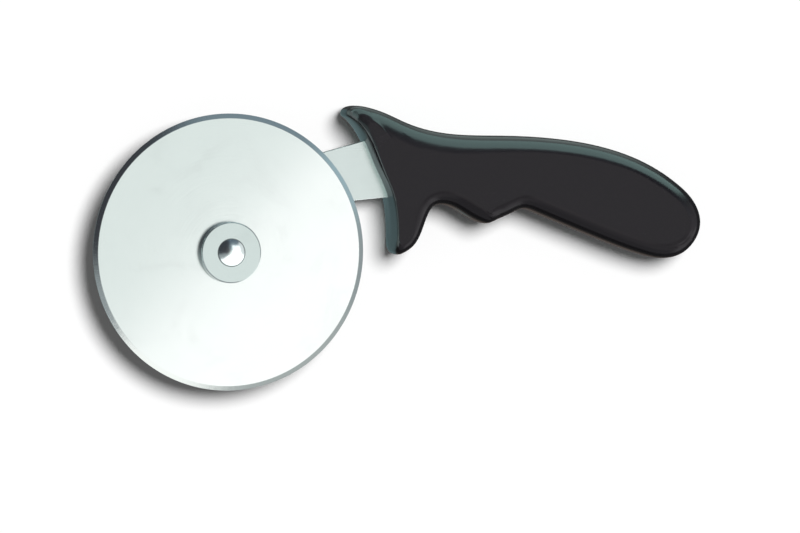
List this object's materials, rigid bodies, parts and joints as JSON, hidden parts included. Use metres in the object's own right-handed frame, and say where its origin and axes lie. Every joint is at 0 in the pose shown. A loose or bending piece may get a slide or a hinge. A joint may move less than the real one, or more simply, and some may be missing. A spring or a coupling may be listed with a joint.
{
  "type": "pizza cutter wheel",
  "caption": "Pizza cutter with a free-turning steel cutting disc on a riveted arm and a black moulded handle with a thumb guard and finger groove.",
  "frame": {"origin": "under the middle of the whole cutter as it lies on its back, on the surface that it lies on", "axes": "+X from the wheel towards the handle's butt, +Y towards the guard's horn, +Z along the axle out of the side with the rivet's dome"},
  "size_m": [0.232, 0.104, 0.0212],
  "materials": {
    "blade_steel": "fine ground stainless with a bright bevel",
    "hub_steel": "satin turned stainless",
    "rivet_steel": "polished stainless",
    "shank_steel": "satin stamped stainless",
    "bush_metal": "turned",
    "washer_plastic": "natural",
    "core_plastic": "moulded",
    "grip_plastic": "satin moulded with a fine grain"
  },
  "bodies": {
    "handle": {"front_boss": "hub_steel", "rear_boss": "hub_steel", "front_slip_washer": "washer_plastic", "rear_slip_washer": "washer_plastic", "bearing_bush": "bush_metal", "axle_rivet": "rivet_steel", "rivet_burr": "hub_steel", "shank": "shank_steel", "handle_core": "core_plastic", "handle_grip": "grip_plastic"},
    "wheel": {"blade_wheel": "blade_steel"}
  },
  "joints": [
    {"name": "wheel_spin", "type": "hinge", "parent": "handle", "child": "wheel", "pos_m": [-0.06495, -0.00125, 0.01505], "axis": [0, 0, 1], "continuous": true}
  ]
}
